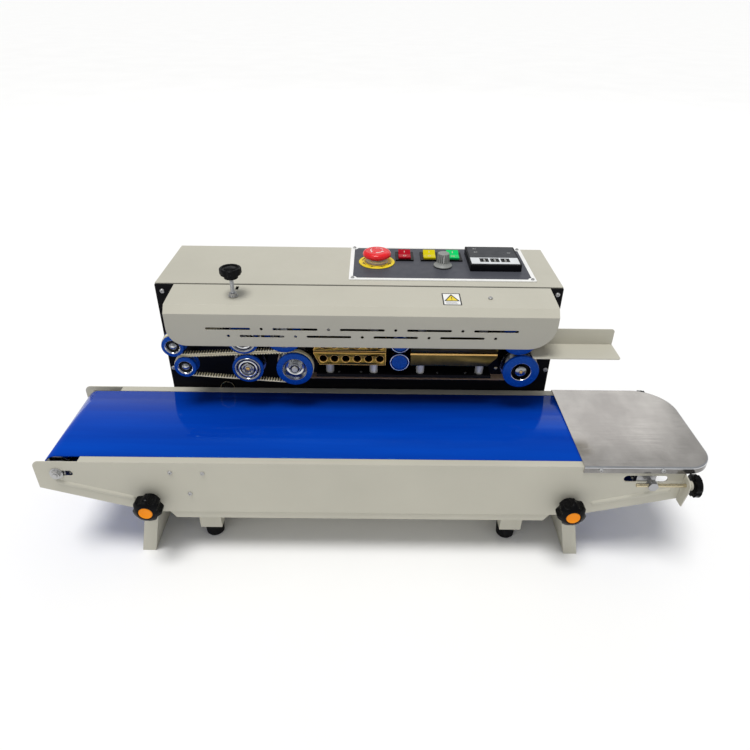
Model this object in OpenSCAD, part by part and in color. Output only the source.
// Tabletop continuous band sealer: bags stand on the conveyor and their mouths run between two
// pairs of thin seal belts, past a heater block and a cooling block, to an embossing wheel.
// X runs along the conveyor, Y runs from the front to the back, Z is up. Millimetres.

/* [Conveyor] */
// Width of the conveyor belt
belt_w = 144; // [130:1:144]
// Height of the belt's carrying face above the table
belt_z = 159; // [157:0.5:160]
// Thickness of the conveyor belt
belt_t = 1.5; // [1:0.1:2]
// Radius of the two end rollers
roller_r = 16.5; // [14:0.5:17]
// Left end of the side plates
plate_left = -418; // [-422:1:-414]
// Right end of the side plates
plate_right = 392; // [388:1:396]
// Depth over both side plates
frame_depth = 168; // [168:1:169]
// Lowest edge of the side plates
plate_low = 77; // [74:1:80]

/* [Feed tray] */
// Left edge of the tray
tray_left = 263; // [258:1:268]
// Right edge of the tray
tray_right = 428; // [424:1:430]
// Depth of the tray's folded rim
tray_rim = 10; // [8:0.5:10]

/* [Head] */
// Left side of the head
head_left = -289; // [-294:1:-288]
// Right side of the head
head_right = 253; // [252:1:258]
// Front face of the black main plate
plate_y = 170; // [170:0.5:171]
// Back face of the head
head_back = 309; // [305:1:315]
// Height of the head's top face
head_top = 321.5; // [320:0.5:324]
// Sheet thickness of the housing, pan and covers
sheet = 1.5; // [1.2:0.1:1.6]
// Left end of the front cover
cover_left = -263; // [-266:1:-258]
// Right end of the front cover
cover_right = 235; // [230:1:240]
// Front face of the front cover
cover_y = 110; // [108:0.5:110]

/* [Sealing mechanism] */
// Height of the seal line
seal_z = 250; // [249:0.5:251]
// Radius of the seal wheels
wheel_r = 24.4; // [24:0.1:24.6]
// X of the inlet wheels
inlet_x = 198; // [196:1:200]
// X of the lower drive wheel
drive_x = -103; // [-105:1:-101]
// Radius of the shafts that drive the wheels
shaft_r = 6; // [5:0.5:6.5]
// Teeth on each of the two drive gears
gear_teeth = 25; // [21:1:29]
// Teeth on the motor's pinion
pinion_teeth = 15; // [13:1:17]
// Holes through each cooling block
cooling_holes = 6; // [4:1:6]

/* [Control panel] */
// Left edge of the control panel
panel_left = -33; // [-40:1:-30]
// Right edge of the control panel
panel_right = 221; // [218:1:226]
// Front edge of the control panel
panel_front = 188; // [184:1:190]
// Travel of the emergency-stop button
estop_travel = 4; // [3:0.5:5]
// Tilt of a rocker from off to on, in degrees
rocker_tilt = 18; // [14:1:20]

/* [Supports] */
// Radius of the star knobs
star_r = 18.6; // [17:0.2:20]
// Lean of the end legs from upright, in degrees
leg_lean = 12.3; // [9:0.1:13]
// Travel of the legs in their slots
leg_travel = 20; // [10:1:20]
// Height of the rubber feet
foot_h = 28; // [25:1:30]

/* [Hidden] */
$fn = 64;
run_gap = 0.05;
part_gap = 0.3;

// Reach of the whole machine, used to centre it over the origin
front_reach = -26;
inlet_flange = 2;
mid_x = (plate_left + tray_right) / 2;
mid_y = (front_reach + head_back + inlet_flange) / 2;

// Conveyor
back_y = frame_depth;
belt_y0 = (frame_depth - belt_w) / 2;
belt_y1 = belt_y0 + belt_w;
roller_z = belt_z - belt_t - roller_r - 0.2;
left_roller_x = -393;
right_roller_x = 345;
drum_x = -230;
drum_z = 130;
drum_r = wheel_r;
roller_shaft_r = 5;
bed_z = belt_z - belt_t - 0.2;
flange_w = 11;
flange_short = 8;
plate_right_low = 109;
plate_left_low = 117;
slope_left = -286;
slope_right = 265;
notch_right = -362;
slot_r = 4.3;
take_up_y = -9;
take_up_z = roller_z - 2.4;
take_up_r = 2.4;
take_up_slot_r = 5.1;
t_bolt_x = 349;
tray_t = 1.2;
tray_lap = 1.7;
tray_z = belt_z + 2;
tray_low = tray_z - tray_rim;

// Legs and feet
left_knob = [-281, 98];
right_knob = [254, 97];
leg_w = 18;
leg_bolt_r = 4;
leg_y0 = 3.4;
leg_y1 = 164.6;
leg_top = 125;
web_top = 78;
rail_front = 20;
rail_back = 300;
rail_w = 29;
left_rail_x = -232;
right_rail_x = 177;
pan_z = 65;
pan_left = -262;
pan_right = 235;
foot_xs = [-220, 191.5];
foot_ys = [42, 275];

// Mechanism: distances back from the front of the wheels
ring_y0 = 114;
ring_y1 = 118;
guide_y0 = 119;
guide_y1 = 126;
seal_y0 = 132;
seal_y1 = 148;
plate_t = 3;
plate_back = plate_y + plate_t;
shaft_front = 113;
belt_slack = 0.2;
seal_belt_t = 0.4;
strand_gap = 0.1;
seal_out_r = wheel_r + belt_slack + seal_belt_t;
lower_z = seal_z - strand_gap - seal_out_r;
upper_z = seal_z + strand_gap + seal_out_r;
upper_drive_x = drive_x - 12;
upper_inlet_x = inlet_x - 7;
guide_t = 3.3;
guide_drive_r = seal_out_r - guide_t;
guide_pulley_r = 12;
guide_front_r = 14.6;
guide_flange_r = 16;
lower_guide = [-248, 226];
upper_guide = [-260, 257];
emboss_r = 21.5;
lower_emboss = [-165, 225];
upper_emboss = [-168, 268.5];
press_r = 13;
press_x = 36;
lower_press_z = seal_z - strand_gap - seal_belt_t - part_gap - press_r;
upper_press_z = 2 * seal_z - lower_press_z;
small_shaft_r = 4;

// Blocks
block_y0 = 118.5;
block_y1 = 150;
block_gap = 0.8;
block_h = 19;
heater_left = 50;
heater_right = 165;
heater_slant = 11;
cooling_left = -78;
cooling_right = 18;
cooling_slant = 8;
hole_r = 5;
hole_x0 = -65;
hole_pitch = 15;
ledge_x0 = -75;
ledge_x1 = 160;
ledge_z = 210;
ledge_t = 3.9;
post_xs = [-57, 2, 65, 145];
post_r = 5.5;
post_y = 130;

// Gears: each mesh is phased from the lower drive gear
gear_y0 = 181;
gear_y1 = 189;
gear_dist = norm([upper_drive_x - drive_x, upper_z - lower_z]);
gear_r = gear_dist / 2;
gear_module = 2 * gear_r / gear_teeth;
mesh_angle = atan2(upper_z - lower_z, upper_drive_x - drive_x);
pinion_r = gear_module * pinion_teeth / 2;
pinion_angle = -50;
pinion_x = drive_x + (gear_r + pinion_r) * cos(pinion_angle);
pinion_z = lower_z + (gear_r + pinion_r) * sin(pinion_angle);
tooth_step = 360 / gear_teeth;
pinion_offset = (pinion_angle - mesh_angle) - tooth_step * floor((pinion_angle - mesh_angle) / tooth_step);
sprocket_y0 = 191;
sprocket_y1 = 194;
sprocket_r = 14;

// Inside the head
gearbox_y = 197;
gearbox_size = 78;
gearbox_d = 34;
motor_len = 58;
motor_r = 34;
fan_x = 130;
fan_z = 150;
fan_y0 = 200;
fan_y1 = 240;
fan_r = 45;
impeller_r = 36;

// Panel
panel_t = 1.5;
panel_gap = 0.1;
panel_z = head_top + panel_gap;
panel_face = panel_z + panel_t;
panel_back = head_back - 0.5;
estop = [5, 248];
estop_body_r = 11;
estop_stem_r = 8;
collar_top = 331;
rocker_xs = [45, 81, 115];
rocker_y = 269;
bezel = [26, 31];
well = [18, 26];
socket = [22, 29];
rocker_pivot = panel_face + 0.5;
knob_at = [98, 236];
controller = [170.3, 253.5];
controller_w = 71.5;
controller_d = 69;
controller_h = 10;
window_y = 235.5;
window_step = 14.8;
thumb_r = 9;
thumb_t = 5;
thumb_z = panel_face + controller_h - 8;
pressure_at = [-179, 140];
post_screw_r = 3;
inlet_at = [-200, 110];
cover_low = 262;
slot_pitch = 85.4;
slot_len = 57;

// ---- Helpers ----

// Points of one rounded corner at c, between its neighbours p and n
function corner(p, c, n, r, steps) =
    let (
        u = (p - c) / norm(p - c),
        v = (n - c) / norm(n - c),
        half = acos(u * v) / 2,
        centre = c + (u + v) / norm(u + v) * r / sin(half),
        first = c + u * r / tan(half) - centre,
        last = c + v * r / tan(half) - centre,
        a0 = atan2(first.y, first.x),
        turn = atan2(last.y, last.x) - a0,
        sweep = turn > 180 ? turn - 360 : turn < -180 ? turn + 360 : turn
    )
    [for (k = [0:steps]) centre + r * [cos(a0 + sweep * k / steps), sin(a0 + sweep * k / steps)]];

// Outline through [x, y, corner radius] points
function outline(pts, steps = 6) =
    let (n = len(pts))
    [for (i = [0:n - 1])
        let (
            q = pts[i],
            before = pts[(i + n - 1) % n],
            after = pts[(i + 1) % n],
            c = [q.x, q.y]
        )
        each q[2] == 0 ? [c] : corner([before.x, before.y], c, [after.x, after.y], q[2], steps)];

// Direction of the outward normal of the belt strand from pulley a to pulley b
function strand_normal(a, b) =
    atan2(b.y - a.y, b.x - a.x) - acos((a[2] - b[2]) / norm([b.x - a.x, b.y - a.y]));

// Outline of a belt that runs anticlockwise round [x, z, radius] pulleys, grown outwards
function belt_path(pulleys, grow, step = 7.5) =
    let (n = len(pulleys))
    [for (i = [0:n - 1])
        let (
            p = pulleys[i],
            a0 = strand_normal(pulleys[(i + n - 1) % n], p),
            a1 = strand_normal(p, pulleys[(i + 1) % n]),
            sweep = a1 - a0 - 360 * floor((a1 - a0) / 360),
            steps = ceil(sweep / step)
        )
        each [for (k = [0:steps])
            let (a = a0 + sweep * k / steps)
            [p.x + (p[2] + grow) * cos(a), p.y + (p[2] + grow) * sin(a)]]];

// Gear outline with straight-sided teeth, one of them centred on angle phase
function gear_path(teeth, pitch_r, module_size, phase) =
    let (step = 360 / teeth, tip = pitch_r + 0.8 * module_size, root = pitch_r - 1.15 * module_size)
    [for (i = [0:teeth - 1])
        let (a = phase + i * step)
        each [
            for (k = [[-0.31, root], [-0.1, tip], [0.1, tip], [0.31, root]])
                [k[1] * cos(a + k[0] * step), k[1] * sin(a + k[0] * step)]
        ]];

// Upright extrusion of an X-Z drawing between two depths
module slab(y0, y1) {
    translate([0, y1, 0]) rotate([90, 0, 0]) linear_extrude(y1 - y0) children();
}

// Extrusion along X of a Y-Z drawing between two stations
module rail(x0, x1) {
    translate([x0, 0, 0]) rotate([90, 0, 90]) linear_extrude(x1 - x0) children();
}

module rod_y(at, r, y0, y1) {
    translate([at.x, y1, at.y]) rotate([90, 0, 0]) cylinder(r = r, h = y1 - y0);
}

module rod_x(y, z, r, x0, x1) {
    translate([x0, y, z]) rotate([0, 90, 0]) cylinder(r = r, h = x1 - x0);
}

module hex_y(at, r, y0, y1) {
    translate([at.x, y1, at.y]) rotate([90, 0, 0]) cylinder(r = r, h = y1 - y0, $fn = 6);
}

module block(x0, x1, y0, y1, z0, z1) {
    translate([x0, y0, z0]) cube([x1 - x0, y1 - y0, z1 - z0]);
}

// Slot with round ends through a plate, from one X-Z point to another
module slot_y(a, b, r, y0, y1) {
    run = norm(b - a);
    tilt = atan2(b.y - a.y, b.x - a.x);
    translate([a.x, y1, a.y]) rotate([90, 0, 0]) rotate([0, 0, tilt]) {
        cylinder(r = r, h = y1 - y0);
        translate([run, 0, 0]) cylinder(r = r, h = y1 - y0);
        translate([0, -r, 0]) cube([run, 2 * r, y1 - y0]);
    }
}

module belt(pulleys, thickness, y0, y1) {
    slab(y0, y1) difference() {
        polygon(belt_path(pulleys, thickness));
        polygon(belt_path(pulleys, 0));
    }
}

// Solid of revolution about an axis along Y: profile points are [radius, depth]
module turned_y(at, profile) {
    translate([at.x, 0, at.y]) rotate([-90, 0, 0]) rotate_extrude() polygon(profile);
}

module placed() {
    translate([-mid_x, -mid_y, 0]) children();
}

// ---- Base and supports ----

module base_pan() {
    wall_top = 95;
    front_y = sheet + 0.2;
    low_left = pan_left + 8;
    low_right = pan_right - 8;
    inner_left = head_left + sheet + part_gap;
    inner_right = head_right - sheet - part_gap;
    inner_back = head_back - sheet - part_gap;
    lip_top = pan_z + 21;
    color("#c5c1b2") placed() {
        slab(front_y, front_y + sheet)
            polygon([[low_left, pan_z], [low_right, pan_z], [pan_right, plate_low],
                [pan_right, wall_top], [pan_left, wall_top], [pan_left, plate_low]]);
        block(low_left, low_right, front_y, plate_y + 6, pan_z, pan_z + sheet);
        for (side = [0, 1])
            slab(front_y, plate_y)
                polygon(side == 0
                    ? [[low_left, pan_z], [low_left + sheet, pan_z], [pan_left + sheet, plate_low],
                        [pan_left, plate_low]]
                    : [[low_right, pan_z], [pan_right, plate_low], [pan_right - sheet, plate_low],
                        [low_right - sheet, pan_z]]);
        block(inner_left, inner_right, plate_y, inner_back, pan_z, pan_z + sheet);
        block(inner_left, inner_left + sheet, plate_back + 1, inner_back, pan_z, lip_top);
        block(inner_right - sheet, inner_right, plate_back + 1, inner_back, pan_z, lip_top);
        block(inner_left, inner_right, inner_back - sheet, inner_back, pan_z, lip_top);
    }
}

module foot_rail(x0, web_x) {
    block(web_x, web_x + sheet, rail_front, rail_back, foot_h, pan_z - 0.1);
    block(x0, x0 + rail_w, rail_front, rail_back, foot_h, foot_h + sheet);
    block(x0, x0 + rail_w, rail_front, rail_back, pan_z - 0.1 - sheet, pan_z - 0.1);
    for (y = [rail_front, rail_back - sheet])
        block(x0, x0 + rail_w, y, y + sheet, foot_h, pan_z - 0.1);
}

module foot_rails() {
    color("#bfbbac") placed() {
        foot_rail(left_rail_x, left_rail_x + rail_w - sheet);
        foot_rail(right_rail_x, right_rail_x);
    }
}

module rubber_feet() {
    top_r = 14;
    tread_r = 12.2;
    color("#1c1c1e") placed()
        for (x = foot_xs, y = foot_ys)
            translate([x, y, 0])
                rotate_extrude() polygon([[0, 0], [tread_r - 1, 0], [tread_r, 1.5],
                    [top_r, foot_h - 3], [top_r, foot_h - 0.1], [0, foot_h - 0.1]]);
}

// One folded end leg: side is -1 on the left and 1 on the right
module leg(knob, side) {
    lean = side * tan(leg_lean);
    outer = function (z) knob.x + side * leg_w / 2 - (z - knob.y) * lean;
    inner = function (z) outer(z) - side * leg_w;
    slot_low = knob - leg_travel * [-side * sin(leg_lean), cos(leg_lean)] - [0, 1.5];
    slot_high = knob + [0, 0.5];
    color("#c5c1b2") placed() {
        for (y = [leg_y0, leg_y1 - sheet])
            difference() {
                slab(y, y + sheet)
                    polygon([[outer(0), 0], [inner(0), 0], [inner(leg_top), leg_top],
                        [outer(leg_top), leg_top]]);
                slot_y(slot_low, slot_high, leg_bolt_r + 0.35, y - 1, y + sheet + 1);
            }
        slab(leg_y0, leg_y1)
            polygon([[inner(0), 0], [inner(0) + side * sheet, 0],
                [inner(web_top) + side * sheet, web_top], [inner(web_top), web_top]]);
    }
}

module left_leg() { leg(left_knob, -1); }
module right_leg() { leg(right_knob, 1); }

module star_knob(at) {
    lobes = 7;
    notch_r = 5.6;
    cap_r = 9.5;
    face_y = front_reach;
    back_of_knob = -7;
    color("#17181a") placed() {
        difference() {
            turned_y(at, [[0, face_y], [cap_r, face_y], [cap_r, face_y + 1.5], [13, face_y + 2],
                [star_r - 2, face_y + 6], [star_r, face_y + 10], [star_r, back_of_knob],
                [0, back_of_knob]]);
            for (i = [0:lobes - 1])
                rod_y(at + (star_r + 3) * [cos(i * 360 / lobes + 12), sin(i * 360 / lobes + 12)],
                    notch_r, face_y - 1, back_of_knob + 1);
        }
        rod_y(at, 11, back_of_knob - 0.5, -part_gap - 0.2);
        rod_y(at, leg_bolt_r, -1, 12);
    }
}

module left_leg_knob() { star_knob(left_knob); }
module right_leg_knob() { star_knob(right_knob); }

// ---- Conveyor ----

module side_outline() {
    polygon(outline([[plate_left, belt_z, 8], [plate_left, plate_left_low, 1],
        [slope_left, plate_low, 3], [slope_right, plate_low, 3],
        [plate_right, plate_right_low, 1], [plate_right, belt_z, 0]]));
}

// Pressed bead that stiffens a sloping lower edge
module bead(a, b, y, out) {
    bead_r = 5;
    sunk = 3.4;
    run = norm(b - a);
    intersection() {
        translate([a.x, y - out * sunk, a.y]) rotate([0, -atan2(b.y - a.y, b.x - a.x), 0]) {
            rotate([0, 90, 0]) cylinder(r = bead_r, h = run, $fn = 24);
            for (x = [0, run]) translate([x, 0, 0]) sphere(r = bead_r, $fn = 24);
        }
        block(plate_left, plate_right, min(y - out, y + 5 * out), max(y - out, y + 5 * out),
            plate_low, belt_z);
    }
}

module take_up_tab(y_root, out) {
    rail(plate_right - sheet, plate_right)
        polygon([for (p = [[-0.5, 149.5], [-13, 148], [-18, 144], [-18, 134], [-13, 107], [-0.5, 107]])
            [y_root - out * p.x, p.y]]);
}

// Side plate with its holes; y is its outer face and out is -1 at the front, 1 at the back, where
// the upper right corner is cut away below the round corner of the tray
module side_plate(y, out) {
    face0 = out < 0 ? y : y - sheet;
    face1 = face0 + sheet;
    flange0 = out < 0 ? y : y - flange_w;
    tap_y = out < 0 ? take_up_y : frame_depth - take_up_y;
    difference() {
        union() {
            slab(face0, face1) side_outline();
            block(notch_right, plate_right - flange_short, flange0, flange0 + flange_w,
                belt_z - sheet, belt_z);
            take_up_tab(y, out);
            bead([-392, 127], [-304, 101], y, out);
            bead([376, 122], [286, 99], y, out);
        }
        for (slot = [[left_roller_x - 3, -371, slot_r], [316, 371, take_up_slot_r]])
            slot_y([slot[0] + slot[2], roller_z], [slot[1] - slot[2], roller_z], slot[2],
                face0 - 3, face1 + 3);
        if (out < 0)
            for (knob = [left_knob, right_knob])
                rod_y(knob, leg_bolt_r + run_gap, face0 - 3, face1 + 3);
        if (out > 0) {
            rod_y([drum_x, drum_z], shaft_r + 2, face0 - 3, face1 + 3);
            block(plate_right - flange_short, plate_right + 1, face0 - 1, face1 + 1, tray_low - 0.5,
                belt_z + 1);
        }
        rod_x(tap_y, take_up_z, take_up_r + run_gap, plate_right - 5, plate_right + 5);
    }
}

module front_side_plate() {
    color("#bdb9ab") placed() side_plate(0, -1);
}

module back_side_plate() {
    color("#bdb9ab") placed() {
        side_plate(back_y, 1);
        for (knob = [left_knob, right_knob])
            rod_y(knob, leg_bolt_r, belt_y1 + 1.5, back_y - sheet / 2);
    }
}

module belt_bed() {
    bed_left = notch_right;
    bed_right = 312;
    color("#9a9c9c") placed() {
        block(bed_left, bed_right, sheet + 0.1, back_y - sheet - 0.1, bed_z - sheet, bed_z);
        for (ends = [[bed_left, -262], [-198, bed_right]], y = [sheet + 0.1, back_y - 2 * sheet - 0.1])
            block(ends[0], ends[1], y, y + sheet, bed_z - 16, bed_z);
    }
}

module conveyor_belt() {
    color("#0f4bc4") placed()
        belt([[left_roller_x, roller_z, roller_r + 0.2], [drum_x, drum_z, drum_r + 0.2],
            [right_roller_x, roller_z, roller_r + 0.2]], belt_t, belt_y0, belt_y1);
}

module end_roller(x) {
    color("#b9bcc0") placed() {
        rod_y([x, roller_z], roller_r, belt_y0 + 1, belt_y1 - 1);
        rod_y([x, roller_z], roller_shaft_r, 4, back_y - 4);
    }
}

module left_end_roller() { end_roller(left_roller_x); }
module right_end_roller() { end_roller(right_roller_x); }

module drive_drum() {
    color("#2b2c2e") placed() {
        rod_y([drum_x, drum_z], drum_r, belt_y0 + 1, belt_y1 - 1);
        rod_y([drum_x, drum_z], shaft_r, 4, sprocket_y1 + 3);
        rod_y([drum_x, drum_z], sprocket_r, sprocket_y0, sprocket_y1);
        rod_y([drum_x, drum_z], 10, sprocket_y0 - 6, sprocket_y0 + 0.5);
    }
}

// Roller bearings; those on the right carry the take-up's cross bolts
module roller_blocks() {
    half = 12;
    block_y = sheet + 0.1;
    block_d = 8;
    stud_r = 2.5;
    color("#a9abad") placed()
        for (out = [-1, 1]) {
            mirrored = out > 0 ? 1 : 0;
            translate([0, mirrored * frame_depth, 0]) mirror([0, mirrored, 0]) {
                for (x = [left_roller_x, right_roller_x])
                    difference() {
                        union() {
                            block(x - half, x + half, block_y, block_y + block_d,
                                roller_z - half, roller_z + half);
                            if (x == right_roller_x) {
                                rod_y([t_bolt_x, take_up_z], stud_r, take_up_y, block_y + 1);
                                hex_y([t_bolt_x, take_up_z], 6.6, take_up_y - 4, take_up_y + 4);
                            }
                        }
                        rod_y([x, roller_z], roller_shaft_r + run_gap, 3.5, block_y + block_d + 1);
                        rod_x(take_up_y, take_up_z, take_up_r + run_gap, t_bolt_x - 10, t_bolt_x + 10);
                    }
            }
        }
}

module take_up_screw(y) {
    knob_x = 398;
    knob_r = 14.4;
    knob_t = 9;
    lobes = 6;
    color("#17181a") placed() {
        rod_x(y, take_up_z, take_up_r, 329, knob_x + 2);
        rod_x(y, take_up_z, 6, knob_x - 3.4, knob_x + 1);
        difference() {
            rod_x(y, take_up_z, knob_r, knob_x, knob_x + knob_t);
            for (i = [0:lobes - 1])
                rod_x(y + (knob_r + 3) * cos(i * 360 / lobes),
                    take_up_z + (knob_r + 3) * sin(i * 360 / lobes), 4.6, knob_x - 1,
                    knob_x + knob_t + 1);
        }
    }
}

module front_take_up_screw() { take_up_screw(take_up_y); }
module back_take_up_screw() { take_up_screw(frame_depth - take_up_y); }

// Outline of the tray, drawn in by inset
module tray_outline(inset) {
    polygon(outline([[tray_left + inset, -tray_lap + inset, 0],
        [tray_right - inset, -tray_lap + inset, 34 - inset],
        [tray_right - inset, frame_depth + tray_lap - inset, 50 - inset],
        [tray_left + inset, frame_depth + tray_lap - inset, 0]], 10));
}

module feed_tray() {
    color("#b4b4b2") placed() {
        translate([0, 0, tray_z - tray_t]) linear_extrude(tray_t) tray_outline(0);
        translate([0, 0, tray_low]) linear_extrude(tray_rim) difference() {
            tray_outline(0);
            tray_outline(tray_t);
            translate([tray_left - 5, tray_t - tray_lap])
                square([20, frame_depth + 2 * (tray_lap - tray_t)]);
        }
    }
}

// ---- Head ----

module panel_holes(z0, z1) {
    depth = z1 - z0;
    translate([estop.x, estop.y, z0]) cylinder(r = estop_body_r + 0.4, h = depth);
    for (x = rocker_xs)
        translate([x - socket.x / 2 - 0.3, rocker_y - socket.y / 2 - 0.3, z0])
            cube([socket.x + 0.6, socket.y + 0.6, depth]);
    translate([knob_at.x, knob_at.y, z0]) cylinder(r = 5.2, h = depth);
    translate([controller.x - controller_w / 2 + 2, controller.y - controller_d / 2 + 2, z0])
        cube([controller_w - 4, controller_d - 4, depth]);
}

module head_housing() {
    front = plate_back + 0.1;
    vents = 9;
    inlet_w = 28;
    inlet_h = 20.5;
    color("#c8c4b5") placed() difference() {
        union() {
            block(head_left, head_right, front, head_back, head_top - sheet, head_top);
            block(head_left, head_left + sheet, front, head_back, pan_z, head_top);
            block(head_right - sheet, head_right, front, head_back, pan_z, head_top);
            block(head_left, head_right, head_back - sheet, head_back, pan_z, head_top);
        }
        panel_holes(head_top - 5, head_top + 5);
        block(inlet_at.x - inlet_w / 2, inlet_at.x + inlet_w / 2, head_back - 5, head_back + 5,
            inlet_at.y - inlet_h / 2, inlet_at.y + inlet_h / 2);
        for (i = [0:vents - 1])
            slot_y([90, 120 + 8 * i], [170, 120 + 8 * i], 1.8, head_back - 5, head_back + 5);
    }
}

module main_plate() {
    shafts = [[inlet_x, lower_z], [upper_inlet_x, upper_z], [drive_x, lower_z],
        [upper_drive_x, upper_z], [drum_x, drum_z]];
    small = [lower_guide, upper_guide, lower_emboss, upper_emboss, [press_x, lower_press_z],
        [press_x, upper_press_z]];
    color("#16171a") placed() difference() {
        block(head_left, head_right, plate_y, plate_back, pan_z + sheet + 0.3, head_top - 1.2);
        for (p = shafts) rod_y(p, shaft_r + 1.5, plate_y - 1, plate_back + 1);
        for (p = small) rod_y(p, small_shaft_r + 1, plate_y - 1, plate_back + 1);
    }
}

// Folded cover section in Y-Z, from the main plate forward and down to the lower edge
module cover_section() {
    top = head_top - 0.3;
    fold_y = cover_y + 8;
    t = 1.2;
    outer = [[plate_y - 0.2, top], [fold_y, top - 4], [cover_y, top - 13.6], [cover_y, cover_low]];
    inner = [[cover_y + t, cover_low], [cover_y + t, top - 14], [fold_y + 0.5, top - 4 - t],
        [plate_y - 0.2, top - t]];
    polygon(concat(outer, inner));
}

module front_cover() {
    mid_z = 292;
    left_r = 24;
    right_r = 34;
    upper_z_row = 287.4;
    lower_z_row = 277;
    dot_r = 2;
    slit_r = 1.8;
    first_slot = -212.5;
    color("#bdb9aa") placed() difference() {
        intersection() {
            rail(cover_left, cover_right) cover_section();
            slab(cover_y - 5, plate_y + 5)
                polygon(outline([[cover_left, head_top, 0], [cover_left, cover_low, left_r],
                    [cover_right, cover_low, right_r], [cover_right, head_top, 0]], 10));
        }
        for (i = [0:4]) {
            x = first_slot + i * slot_pitch;
            slot_y([x + slit_r, upper_z_row], [x + slot_len - slit_r, upper_z_row], slit_r,
                cover_y - 2, cover_y + 4);
            rod_y([x + slot_pitch / 3, lower_z_row], dot_r, cover_y - 2, cover_y + 4);
            if (i < 4) {
                slot_y([x + slot_pitch / 2 + slit_r, lower_z_row],
                    [x + slot_pitch / 2 + slot_len - slit_r, lower_z_row], slit_r,
                    cover_y - 2, cover_y + 4);
                rod_y([x + slot_len + 14, upper_z_row], dot_r, cover_y - 2, cover_y + 4);
            }
        }
        translate([pressure_at.x, pressure_at.y, mid_z]) cylinder(r = post_screw_r + 1, h = 40);
        translate([pressure_at.x - 1, pressure_at.y + 17, mid_z]) cube([4, 9, 40]);
    }
}

module bag_guide() {
    flap_t = 1.2;
    shelf_z = seal_z - 1;
    x0 = 210;
    x1 = 325;
    y0 = 110;
    y1 = 150;
    rise = 23;
    color("#c3bfb0") placed() {
        translate([0, 0, shelf_z - flap_t]) linear_extrude(flap_t)
            polygon(outline([[x0, y0, 3], [x1, y0, 4], [x1, y1, 0], [x0 + 9, y1, 0], [x0, y1 - 14, 0]]));
        slab(y1 - flap_t, y1)
            polygon(outline([[x0 + 9, shelf_z - flap_t, 0], [x1, shelf_z - flap_t, 0],
                [x1, shelf_z + rise, 4], [x0 + 9, shelf_z + rise, 2]]));
        block(x0 + 12, x0 + 12 + flap_t, y1 - 0.5, plate_y - 0.1, shelf_z - flap_t, shelf_z + 14);
        block(x0 + 12, x0 + 40, plate_y - 0.1 - flap_t, plate_y - 0.1, shelf_z - flap_t, shelf_z + 14);
    }
}

// ---- Belts, blocks and brackets ----

module seal_belts() {
    inner_r = wheel_r + belt_slack;
    color("#7a5a42") placed() {
        belt([[drive_x, lower_z, inner_r], [inlet_x, lower_z, inner_r]], seal_belt_t,
            seal_y0 + 0.5, seal_y1 - 0.5);
        belt([[upper_drive_x, upper_z, inner_r], [upper_inlet_x, upper_z, inner_r]], seal_belt_t,
            seal_y0 + 0.5, seal_y1 - 0.5);
    }
}

module guide_belts() {
    small_r = guide_pulley_r + part_gap;
    color("#d9d0ae") placed() {
        belt([[lower_guide.x, lower_guide.y, small_r], [drive_x, lower_z, guide_drive_r]], guide_t,
            guide_y0 + 0.3, guide_y1 - 0.3);
        belt([[upper_guide.x, upper_guide.y, small_r], [upper_drive_x, upper_z, guide_drive_r]],
            guide_t, guide_y0 + 0.3, guide_y1 - 0.3);
    }
}

// A block below the seal line; mirrored about the line for its upper twin
module block_pair() {
    children();
    translate([0, 0, 2 * seal_z]) mirror([0, 0, 1]) children();
}

module heater_blocks() {
    top = seal_z - block_gap;
    color("#a5803c") placed() block_pair()
        slab(block_y0, block_y1)
            polygon([[heater_left, top], [heater_left, top - block_h],
                [heater_right - heater_slant, top - block_h], [heater_right, top - 6],
                [heater_right, top]]);
}

module cooling_blocks() {
    top = seal_z - block_gap;
    color("#b08d43") placed() block_pair()
        difference() {
            slab(block_y0, block_y1)
                polygon([[cooling_left, top], [cooling_left, top - 2],
                    [cooling_left + cooling_slant, top - block_h],
                    [cooling_right, top - block_h], [cooling_right, top]]);
            for (i = [0:cooling_holes - 1])
                rod_y([hole_x0 + i * hole_pitch, top - block_h / 2], hole_r,
                    block_y0 - 1, block_y1 + 1);
        }
}

module mechanism_brackets() {
    front = 121;
    back = plate_y - 0.1;
    block_base = seal_z - block_gap - block_h;
    arm_z = 297;
    arm_w = 22;
    boss_r = 7;
    color("#8f9194") placed() {
        block_pair() {
            block(ledge_x0, ledge_x1, front, back, ledge_z, ledge_z + ledge_t);
            block(ledge_x0, ledge_x1, back - 3, back, ledge_z - 6, ledge_z + ledge_t);
            for (x = post_xs)
                translate([x, post_y, ledge_z + ledge_t - 0.5])
                    cylinder(r = post_r, h = block_base - ledge_z - ledge_t + 0.4);
        }
        difference() {
            union() {
                block(pressure_at.x - arm_w / 2, pressure_at.x + arm_w / 2, pressure_at.y - 10, back,
                    arm_z, arm_z + 3);
                translate([pressure_at.x, pressure_at.y, arm_z - 4]) cylinder(r = boss_r, h = 7);
            }
            translate([pressure_at.x, pressure_at.y, arm_z - 10])
                cylinder(r = post_screw_r + run_gap, h = 20);
        }
    }
}

module bush(at, r, y0, y1, wall) {
    difference() {
        rod_y(at, r + wall, y0, y1);
        rod_y(at, r + run_gap, y0 - 1, y1 + 1);
    }
}

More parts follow.
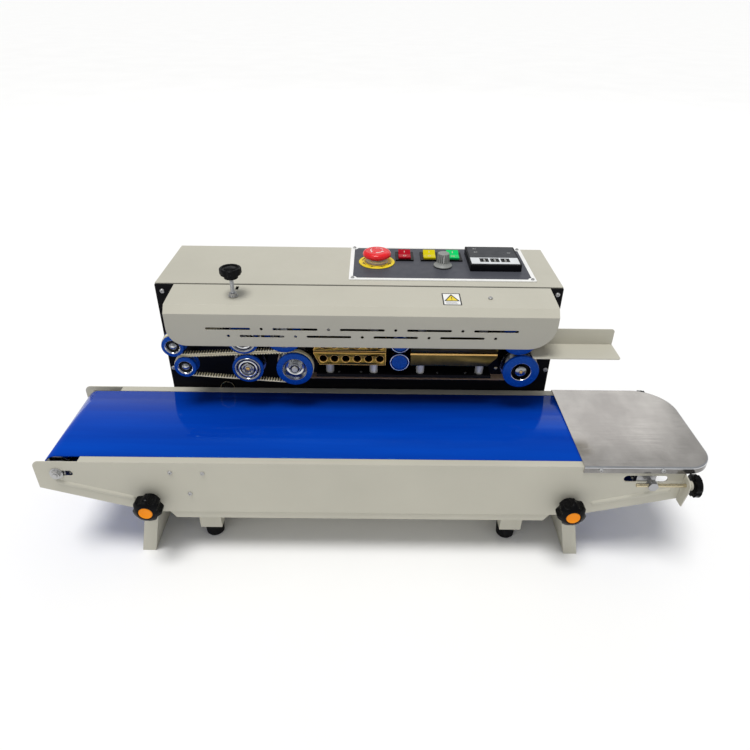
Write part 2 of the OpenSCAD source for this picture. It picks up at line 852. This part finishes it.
module bearing_bushes() {
    color("#9b9da0") placed() {
        for (p = [[inlet_x, lower_z], [upper_inlet_x, upper_z], [drive_x, lower_z],
                [upper_drive_x, upper_z]])
            bush(p, shaft_r, plate_back + 0.1, plate_back + 7, 9);
        for (p = [lower_guide, upper_guide, lower_emboss, upper_emboss, [press_x, lower_press_z],
                [press_x, upper_press_z]])
            bush(p, small_shaft_r, plate_back + 0.1, plate_back + 7, 5);
        bush([drum_x, drum_z], shaft_r, sheet + 0.1, belt_y0 - 3, 17);
        bush([drum_x, drum_z], shaft_r, belt_y1 + 3, back_y - sheet - 0.1, 17);
        bush([drum_x, drum_z], shaft_r, plate_back + 0.1, plate_back + 7, 9);
    }
}

// ---- Wheels ----

// Wheel with a dished front ring, a toothed land for the guide belt and a land for the seal belt
module seal_wheel(at, land_r, tint) {
    dish_r = 13;
    dish_y = 122;
    hub_r = 10;
    color(tint) placed() {
        turned_y(at, [[0, dish_y], [dish_r, dish_y], [dish_r, ring_y0], [wheel_r - 0.9, ring_y0],
            [wheel_r - 0.9, ring_y1], [land_r, ring_y1], [land_r, seal_y0 - 0.4],
            [wheel_r, seal_y0 - 0.4], [wheel_r, seal_y1], [hub_r, seal_y1],
            [hub_r, plate_y - 0.5], [0, plate_y - 0.5]]);
        rod_y(at, shaft_r, shaft_front, plate_back + 24);
        hex_y(at, 8, ring_y0 + 1.5, dish_y + 0.5);
    }
}

module lower_drive_wheel() { seal_wheel([drive_x, lower_z], guide_drive_r - part_gap, "#1d4fb5"); }
module upper_drive_wheel() {
    seal_wheel([upper_drive_x, upper_z], guide_drive_r - part_gap, "#1d4fb5");
}
module lower_inlet_wheel() { seal_wheel([inlet_x, lower_z], 18, "#1d4fb5"); }
module upper_inlet_wheel() { seal_wheel([upper_inlet_x, upper_z], 18, "#1d4fb5"); }

module guide_pulley(at) {
    dish_r = 9;
    color("#1d4fb5") placed() {
        turned_y(at, [[0, ring_y0 + 4], [dish_r, ring_y0 + 4], [dish_r, ring_y0],
            [guide_front_r, ring_y0], [guide_front_r, ring_y1], [guide_pulley_r, ring_y1],
            [guide_pulley_r, guide_y1 + 0.5], [guide_flange_r, guide_y1 + 0.5],
            [guide_flange_r, guide_y1 + 2.5], [7, guide_y1 + 2.5], [7, plate_y - 0.5],
            [0, plate_y - 0.5]]);
        rod_y(at, small_shaft_r, ring_y0, plate_back + 8);
    }
}

module lower_guide_pulley() { guide_pulley(lower_guide); }
module upper_guide_pulley() { guide_pulley(upper_guide); }

module emboss_wheel(at) {
    face_r = 20.6;
    face_y = 112.6;
    color("#b8babd") placed() {
        turned_y(at, [[0, face_y + 2], [5, face_y + 2], [5, face_y + 0.5], [9, face_y + 0.5],
            [9, face_y + 2.5], [13, face_y + 2.5], [13, face_y], [17, face_y],
            [17, face_y + 2], [face_r, face_y + 2], [face_r, ring_y1 - 0.4], [9, ring_y1 - 0.4],
            [9, seal_y0 + 0.5], [emboss_r - 0.2, seal_y0 + 0.5], [emboss_r - 0.2, seal_y1 - 0.5],
            [9, seal_y1 - 0.5], [9, plate_y - 0.5], [0, plate_y - 0.5]]);
        rod_y(at, small_shaft_r, face_y, plate_back + 8);
    }
}

module lower_emboss_wheel() { emboss_wheel(lower_emboss); }
module upper_emboss_wheel() { emboss_wheel(upper_emboss); }

module press_roller(at) {
    dish_r = 9.5;
    face_y = 116;
    color("#1d4fb5") placed() {
        turned_y(at, [[0, face_y + 1], [dish_r, face_y + 1], [dish_r + 1, face_y],
            [press_r, face_y], [press_r, seal_y1 + 2], [7, seal_y1 + 2], [7, plate_y - 0.5],
            [0, plate_y - 0.5]]);
        rod_y(at, small_shaft_r, face_y + 2, plate_back + 8);
    }
}

module lower_press_roller() { press_roller([press_x, lower_press_z]); }
module upper_press_roller() { press_roller([press_x, upper_press_z]); }

// ---- Drive train inside the head ----

module gear(at, teeth, pitch_r, phase, bore) {
    difference() {
        translate([at.x, 0, at.y]) slab(gear_y0, gear_y1)
            polygon(gear_path(teeth, pitch_r, gear_module, phase));
        rod_y(at, bore, gear_y0 - 1, gear_y1 + 1);
    }
}

module lower_drive_gear() {
    at = [drive_x, lower_z];
    color("#8d8f92") placed() {
        gear(at, gear_teeth, gear_r, mesh_angle, shaft_r + 0.01);
        bush(at, shaft_r - run_gap + 0.01, sprocket_y0, sprocket_y1, sprocket_r - shaft_r);
    }
}

module upper_drive_gear() {
    color("#8d8f92") placed()
        gear([upper_drive_x, upper_z], gear_teeth, gear_r, mesh_angle + 180 + tooth_step / 2,
            shaft_r + 0.01);
}

module motor_pinion() {
    at = [pinion_x, pinion_z];
    step = 360 / pinion_teeth;
    phase = pinion_angle + 180 + pinion_offset * gear_r / pinion_r + step / 2;
    color("#8d8f92") placed() {
        gear(at, pinion_teeth, pinion_r, phase, 0.5);
        rod_y(at, 5, gear_y0 - 2, gearbox_y + 18);
    }
}

module gear_motor() {
    half = gearbox_size / 2;
    pillar = half - 6;
    color("#55585c") placed() difference() {
        union() {
            block(pinion_x - half, pinion_x + half, gearbox_y, gearbox_y + gearbox_d,
                pinion_z - half, pinion_z + half);
            rod_y([pinion_x, pinion_z], motor_r, gearbox_y + gearbox_d - 1,
                gearbox_y + gearbox_d + motor_len);
            for (p = [[-pillar, -pillar], [pillar, -pillar], [pillar, pillar]])
                rod_y([pinion_x, pinion_z] + p, 5, plate_back + 0.1, gearbox_y + 1);
        }
        rod_y([pinion_x, pinion_z], 5 + run_gap, gearbox_y - 1, gearbox_y + 20);
    }
}

module drive_chain() {
    chain_t = 4;
    color("#6c6e70") placed()
        belt([[drum_x, drum_z, sprocket_r + part_gap], [drive_x, lower_z, sprocket_r + part_gap]],
            chain_t, sprocket_y0 + 0.2, sprocket_y1 - 0.2);
}

module blower_housing() {
    at = [fan_x, fan_z];
    spout = 30;
    color("#2a2b2e") placed() difference() {
        union() {
            rod_y(at, fan_r, fan_y0, fan_y1);
            block(fan_x - fan_r, fan_x - fan_r + spout, fan_y0, fan_y1, fan_z, fan_z + fan_r + 20);
            rod_y(at, 20, fan_y1 - 1, fan_y1 + 30);
            block(fan_x - 30, fan_x + 30, fan_y0 + 5, fan_y1 - 5, pan_z + sheet + 0.1,
                pan_z + sheet + 3);
            block(fan_x - 8, fan_x + 8, fan_y0 + 5, fan_y1 - 5, pan_z + sheet + 1,
                fan_z - fan_r + 2);
        }
        rod_y(at, fan_r - 2, fan_y0 + 2, fan_y1 - 2);
        rod_y(at, 24, fan_y0 - 1, fan_y0 + 3);
        block(fan_x - fan_r + 2, fan_x - fan_r + spout - 2, fan_y0 + 2, fan_y1 - 2, fan_z,
            fan_z + fan_r + 21);
        rod_y(at, post_screw_r + run_gap, fan_y1 - 3, fan_y1 + 20);
    }
}

module fan_impeller() {
    at = [fan_x, fan_z];
    blades = 14;
    color("#3a3c40") placed() {
        rod_y(at, impeller_r, fan_y1 - 8, fan_y1 - 6);
        rod_y(at, 8, fan_y0 + 8, fan_y1 - 6);
        rod_y(at, post_screw_r, fan_y1 - 7, fan_y1 + 15);
        for (i = [0:blades - 1])
            translate([at.x, 0, at.y]) rotate([0, i * 360 / blades, 0])
                translate([impeller_r - 13, fan_y0 + 8, -0.6])
                    cube([12, fan_y1 - fan_y0 - 15, 1.2]);
    }
}

module power_inlet() {
    flange = [48, 24];
    shell = [27, 19.5];
    cavity = [24, 16.5];
    depth = 24;
    color("#1b1c1e") placed() {
        difference() {
            union() {
                block(inlet_at.x - flange.x / 2, inlet_at.x + flange.x / 2, head_back + 0.1,
                    head_back + inlet_flange, inlet_at.y - flange.y / 2, inlet_at.y + flange.y / 2);
                block(inlet_at.x - shell.x / 2, inlet_at.x + shell.x / 2, head_back - depth,
                    head_back + 1, inlet_at.y - shell.y / 2, inlet_at.y + shell.y / 2);
            }
            block(inlet_at.x - cavity.x / 2, inlet_at.x + cavity.x / 2, head_back - depth + 4,
                head_back + 5, inlet_at.y - cavity.y / 2, inlet_at.y + cavity.y / 2);
        }
        for (p = [[-7, -3], [0, 0], [7, -3]])
            block(inlet_at.x + p.x - 1, inlet_at.x + p.x + 1, head_back - depth + 3, head_back - 3,
                inlet_at.y + p.y - 4, inlet_at.y + p.y);
    }
}

// ---- Control panel ----

module control_panel() {
    color("#e9eae6") placed() difference() {
        translate([0, 0, panel_z]) linear_extrude(panel_t)
            polygon(outline([[panel_left, panel_front, 2], [panel_right, panel_front, 2],
                [panel_right, panel_back, 2], [panel_left, panel_back, 2]], 4));
        panel_holes(panel_z - 1, panel_face + 1);
    }
}

module estop_base() {
    disc_r = 25.5;
    disc_t = 1.5;
    color("#e7c81d") placed() translate([estop.x, estop.y, 0]) difference() {
        union() {
            translate([0, 0, panel_face + 0.1]) cylinder(r = disc_r, h = disc_t);
            rotate_extrude() polygon([[0, panel_face], [14.5, panel_face], [14.5, collar_top - 2],
                [12.5, collar_top], [0, collar_top]]);
            translate([0, 0, 282]) cylinder(r = estop_body_r, h = panel_face - 281);
            translate([-17, -17, 262]) cube([34, 34, 24]);
        }
        translate([0, 0, 290]) cylinder(r = estop_stem_r + run_gap, h = 60);
    }
}

module estop_button() {
    cap_r = 19.9;
    rim_z = collar_top + 2.2;
    recess_r = 15.3;
    recess_z = collar_top + estop_travel + 0.8;
    dome_z = rim_z + 3.6;
    color("#d8262c") placed() translate([estop.x, estop.y, 0]) {
        translate([0, 0, 296]) cylinder(r = estop_stem_r, h = recess_z - 295);
        rotate_extrude()
            polygon(concat([[0, recess_z], [recess_r, recess_z], [recess_r, rim_z],
                    [cap_r - 1, rim_z], [cap_r, rim_z + 1.5]],
                [for (a = [0:15:90]) [cap_r - 6 + 6 * cos(a), dome_z + 5 * sin(a)]],
                [[0, dome_z + 5.6]]));
    }
}

// Rocker bezels with their bodies, and the speed potentiometer
module panel_sockets() {
    rim = 2.2;
    body_h = 22;
    pin_r = 1.5;
    color("#1a1b1d") placed() {
        for (x = rocker_xs)
            translate([x, rocker_y, 0]) difference() {
                union() {
                    translate([-bezel.x / 2, -bezel.y / 2, panel_face + 0.1])
                        cube([bezel.x, bezel.y, rim]);
                    translate([-socket.x / 2, -socket.y / 2, panel_face - body_h])
                        cube([socket.x, socket.y, body_h + 1]);
                }
                translate([-well.x / 2, -well.y / 2, panel_face - body_h + 2])
                    cube([well.x, well.y, body_h + 10]);
                rod_x(0, rocker_pivot, pin_r + run_gap, -socket.x / 2 - 1, socket.x / 2 + 1);
            }
        translate([knob_at.x, knob_at.y, 0]) difference() {
            union() {
                translate([0, 0, 300]) cylinder(r = 8.5, h = head_top - sheet - 300.2);
                translate([0, 0, 300]) cylinder(r = 4.8, h = panel_face - 299);
            }
            translate([0, 0, 305]) cylinder(r = post_screw_r + run_gap, h = 40);
        }
    }
}

module rocker(x, tint) {
    half = well.x / 2 - 0.4;
    long = 11.4;
    rest = rocker_tilt / 2;
    color(tint) placed() translate([x, rocker_y, rocker_pivot]) {
        rotate([rest, 0, 0])
            rail(-half, half)
                polygon([[-long, -4], [long, -4], [long, 6.2], [0, 4.4], [-long, 6.2]]);
        rod_x(0, 0, 1.5, -half - 1.8, half + 1.8);
    }
}

module rocker_power() { rocker(rocker_xs[0], "#b3121c"); }
module rocker_heater() { rocker(rocker_xs[1], "#e6cf12"); }
module rocker_fan() { rocker(rocker_xs[2], "#19b04a"); }

module speed_knob() {
    skirt_r = 13;
    grip_r = 9.2;
    flutes = 18;
    z0 = panel_face + 1.3;
    color("#8b8e8e") placed() translate([knob_at.x, knob_at.y, 0]) {
        difference() {
            rotate_extrude()
                polygon([[0, z0], [skirt_r, z0], [skirt_r, z0 + 1.6], [grip_r + 1, z0 + 4],
                    [grip_r, z0 + 5], [grip_r - 0.8, z0 + 17.5], [grip_r - 2.4, z0 + 19],
                    [0, z0 + 19]]);
            for (i = [0:flutes - 1])
                rotate([0, 0, i * 360 / flutes]) translate([grip_r + 0.5, 0, z0 + 5])
                    cylinder(r = 0.9, h = 20, $fn = 16);
        }
        translate([0, 0, 308]) cylinder(r = post_screw_r, h = z0 - 307);
    }
}

module temperature_controller() {
    half_w = controller_w / 2;
    half_d = controller_d / 2;
    top = panel_face + controller_h;
    rim_z = panel_face + 0.1;
    shoulder = 2.5;
    color("#1d1e21") placed() translate([controller.x, controller.y, 0]) difference() {
        union() {
            translate([0, 0, rim_z]) linear_extrude(top - rim_z)
                polygon(outline([[-half_w, -half_d, 1.5], [half_w, -half_d, 1.5],
                    [half_w, half_d, 1.5], [-half_w, half_d, 1.5]], 4));
            translate([shoulder - half_w, shoulder - half_d, 255])
                cube([controller_w - 2 * shoulder, controller_d - 2 * shoulder, rim_z - 254]);
        }
        for (i = [-1:1])
            translate([i * window_step, window_y - controller.y, 0]) {
                translate([-thumb_t / 2 - 0.4, -thumb_r - 0.6, thumb_z - thumb_r - 1])
                    cube([thumb_t + 0.8, 2 * thumb_r + 1.2, 40]);
                rod_x(0, thumb_z, 1 + run_gap, -thumb_t / 2 - 2, thumb_t / 2 + 2);
            }
    }
}

module thumbwheel(i) {
    notches = 10;
    color("#101113") placed()
        translate([controller.x + i * window_step, window_y, thumb_z]) {
            difference() {
                rod_x(0, 0, thumb_r, -thumb_t / 2, thumb_t / 2);
                for (k = [0:notches - 1])
                    rotate([k * 360 / notches, 0, 0]) translate([0, 0, thumb_r + 0.5])
                        rotate([0, 90, 0]) cylinder(r = 1.2, h = thumb_t + 1, center = true, $fn = 16);
            }
            rod_x(0, 0, 1, -thumb_t / 2 - 1.8, thumb_t / 2 + 1.8);
        }
}

module thumbwheel_left() { thumbwheel(-1); }
module thumbwheel_middle() { thumbwheel(0); }
module thumbwheel_right() { thumbwheel(1); }

module pressure_knob() {
    knob_z = 344;
    knob_r = 13.8;
    lobes = 7;
    color("#151618") placed() translate([pressure_at.x, pressure_at.y, 0]) {
        translate([0, 0, 291]) cylinder(r = post_screw_r, h = knob_z - 290);
        translate([0, 0, knob_z]) cylinder(r = 9, h = 6);
        difference() {
            translate([0, 0, knob_z + 5]) cylinder(r = knob_r, h = 9);
            for (i = [0:lobes - 1])
                rotate([0, 0, i * 360 / lobes]) translate([knob_r + 2.6, 0, knob_z])
                    cylinder(r = 4, h = 20);
        }
    }
}

// ---- Fasteners ----

module screw_head(r, h) {
    difference() {
        rotate_extrude() polygon([[0, 0], [r, 0], [r, h * 0.45], [r * 0.7, h], [0, h]]);
        for (a = [0, 90])
            rotate([0, 0, a]) translate([-r * 0.55, -0.35, h * 0.5]) cube([r * 1.1, 0.7, h]);
    }
}

module front_screw(x, z, y, r = 3) {
    translate([x, y, z]) rotate([90, 0, 0]) screw_head(r, 1.8);
}

module top_screw(x, y, z, r = 3) {
    translate([x, y, z]) screw_head(r, 1.8);
}

module fasteners() {
    plate_screws = [[-280, 311], [-284, 191], [246, 312], [248.5, 194.5]];
    side_screws = [[-250, 143.5], [-210, 142.6], [-230, 108.7]];
    tray_screws = [284, 361];
    panel_inset = 5;
    nut_r = 5.2;
    cover_seat = head_top - 2.1;
    color("#c9cbce") placed() {
        for (p = plate_screws) front_screw(p.x, p.y, plate_y - 0.1, 3.2);
        for (p = side_screws) front_screw(p.x, p.y, -0.1, 2.8);
        for (x = tray_screws) front_screw(x, 156, -1.8, 2.8);
        top_screw(151, 141, cover_seat, 3);
        for (x = [panel_left + panel_inset, panel_right - panel_inset],
                y = [panel_front + panel_inset, panel_back - panel_inset])
            top_screw(x, y, panel_face + 0.1, 2.4);
        for (mirrored = [0, 1])
            translate([0, mirrored * frame_depth, 0]) mirror([0, mirrored, 0]) {
                rod_y([left_roller_x + 2, roller_z], 8.2, -1.3, -0.1);
                if (mirrored == 0) {
                    hex_y([left_roller_x + 2, roller_z], 6, -5.2, -1.2);
                    rod_y([left_roller_x + 2, roller_z], 3.2, -6.6, -5);
                }
            }
        translate([pressure_at.x, pressure_at.y, 0]) difference() {
            union() {
                translate([0, 0, cover_seat]) cylinder(r = nut_r + 1, h = 0.8);
                translate([0, 0, cover_seat + 0.7]) cylinder(r = nut_r, h = 3.4, $fn = 6);
            }
            translate([0, 0, 300]) cylinder(r = post_screw_r + run_gap, h = 60);
        }
        for (x = foot_xs, y = foot_ys)
            translate([x, y, foot_h + sheet + 0.1]) cylinder(r = 6, h = 5, $fn = 6);
    }
}

base_pan();
foot_rails();
rubber_feet();
head_housing();
main_plate();
front_cover();
fasteners();
control_panel();
estop_base();
panel_sockets();
temperature_controller();
seal_belts();
guide_belts();
heater_blocks();
cooling_blocks();
mechanism_brackets();
bag_guide();
bearing_bushes();
gear_motor();
blower_housing();
power_inlet();
front_side_plate();
back_side_plate();
belt_bed();
conveyor_belt();
feed_tray();
roller_blocks();
drive_chain();
estop_button();
rocker_power();
rocker_heater();
rocker_fan();
speed_knob();
thumbwheel_left();
thumbwheel_middle();
thumbwheel_right();
pressure_knob();
lower_drive_wheel();
upper_drive_wheel();
lower_drive_gear();
upper_drive_gear();
motor_pinion();
lower_inlet_wheel();
upper_inlet_wheel();
lower_guide_pulley();
upper_guide_pulley();
lower_emboss_wheel();
upper_emboss_wheel();
lower_press_roller();
upper_press_roller();
left_end_roller();
right_end_roller();
drive_drum();
front_take_up_screw();
back_take_up_screw();
left_leg();
right_leg();
left_leg_knob();
right_leg_knob();
fan_impeller();
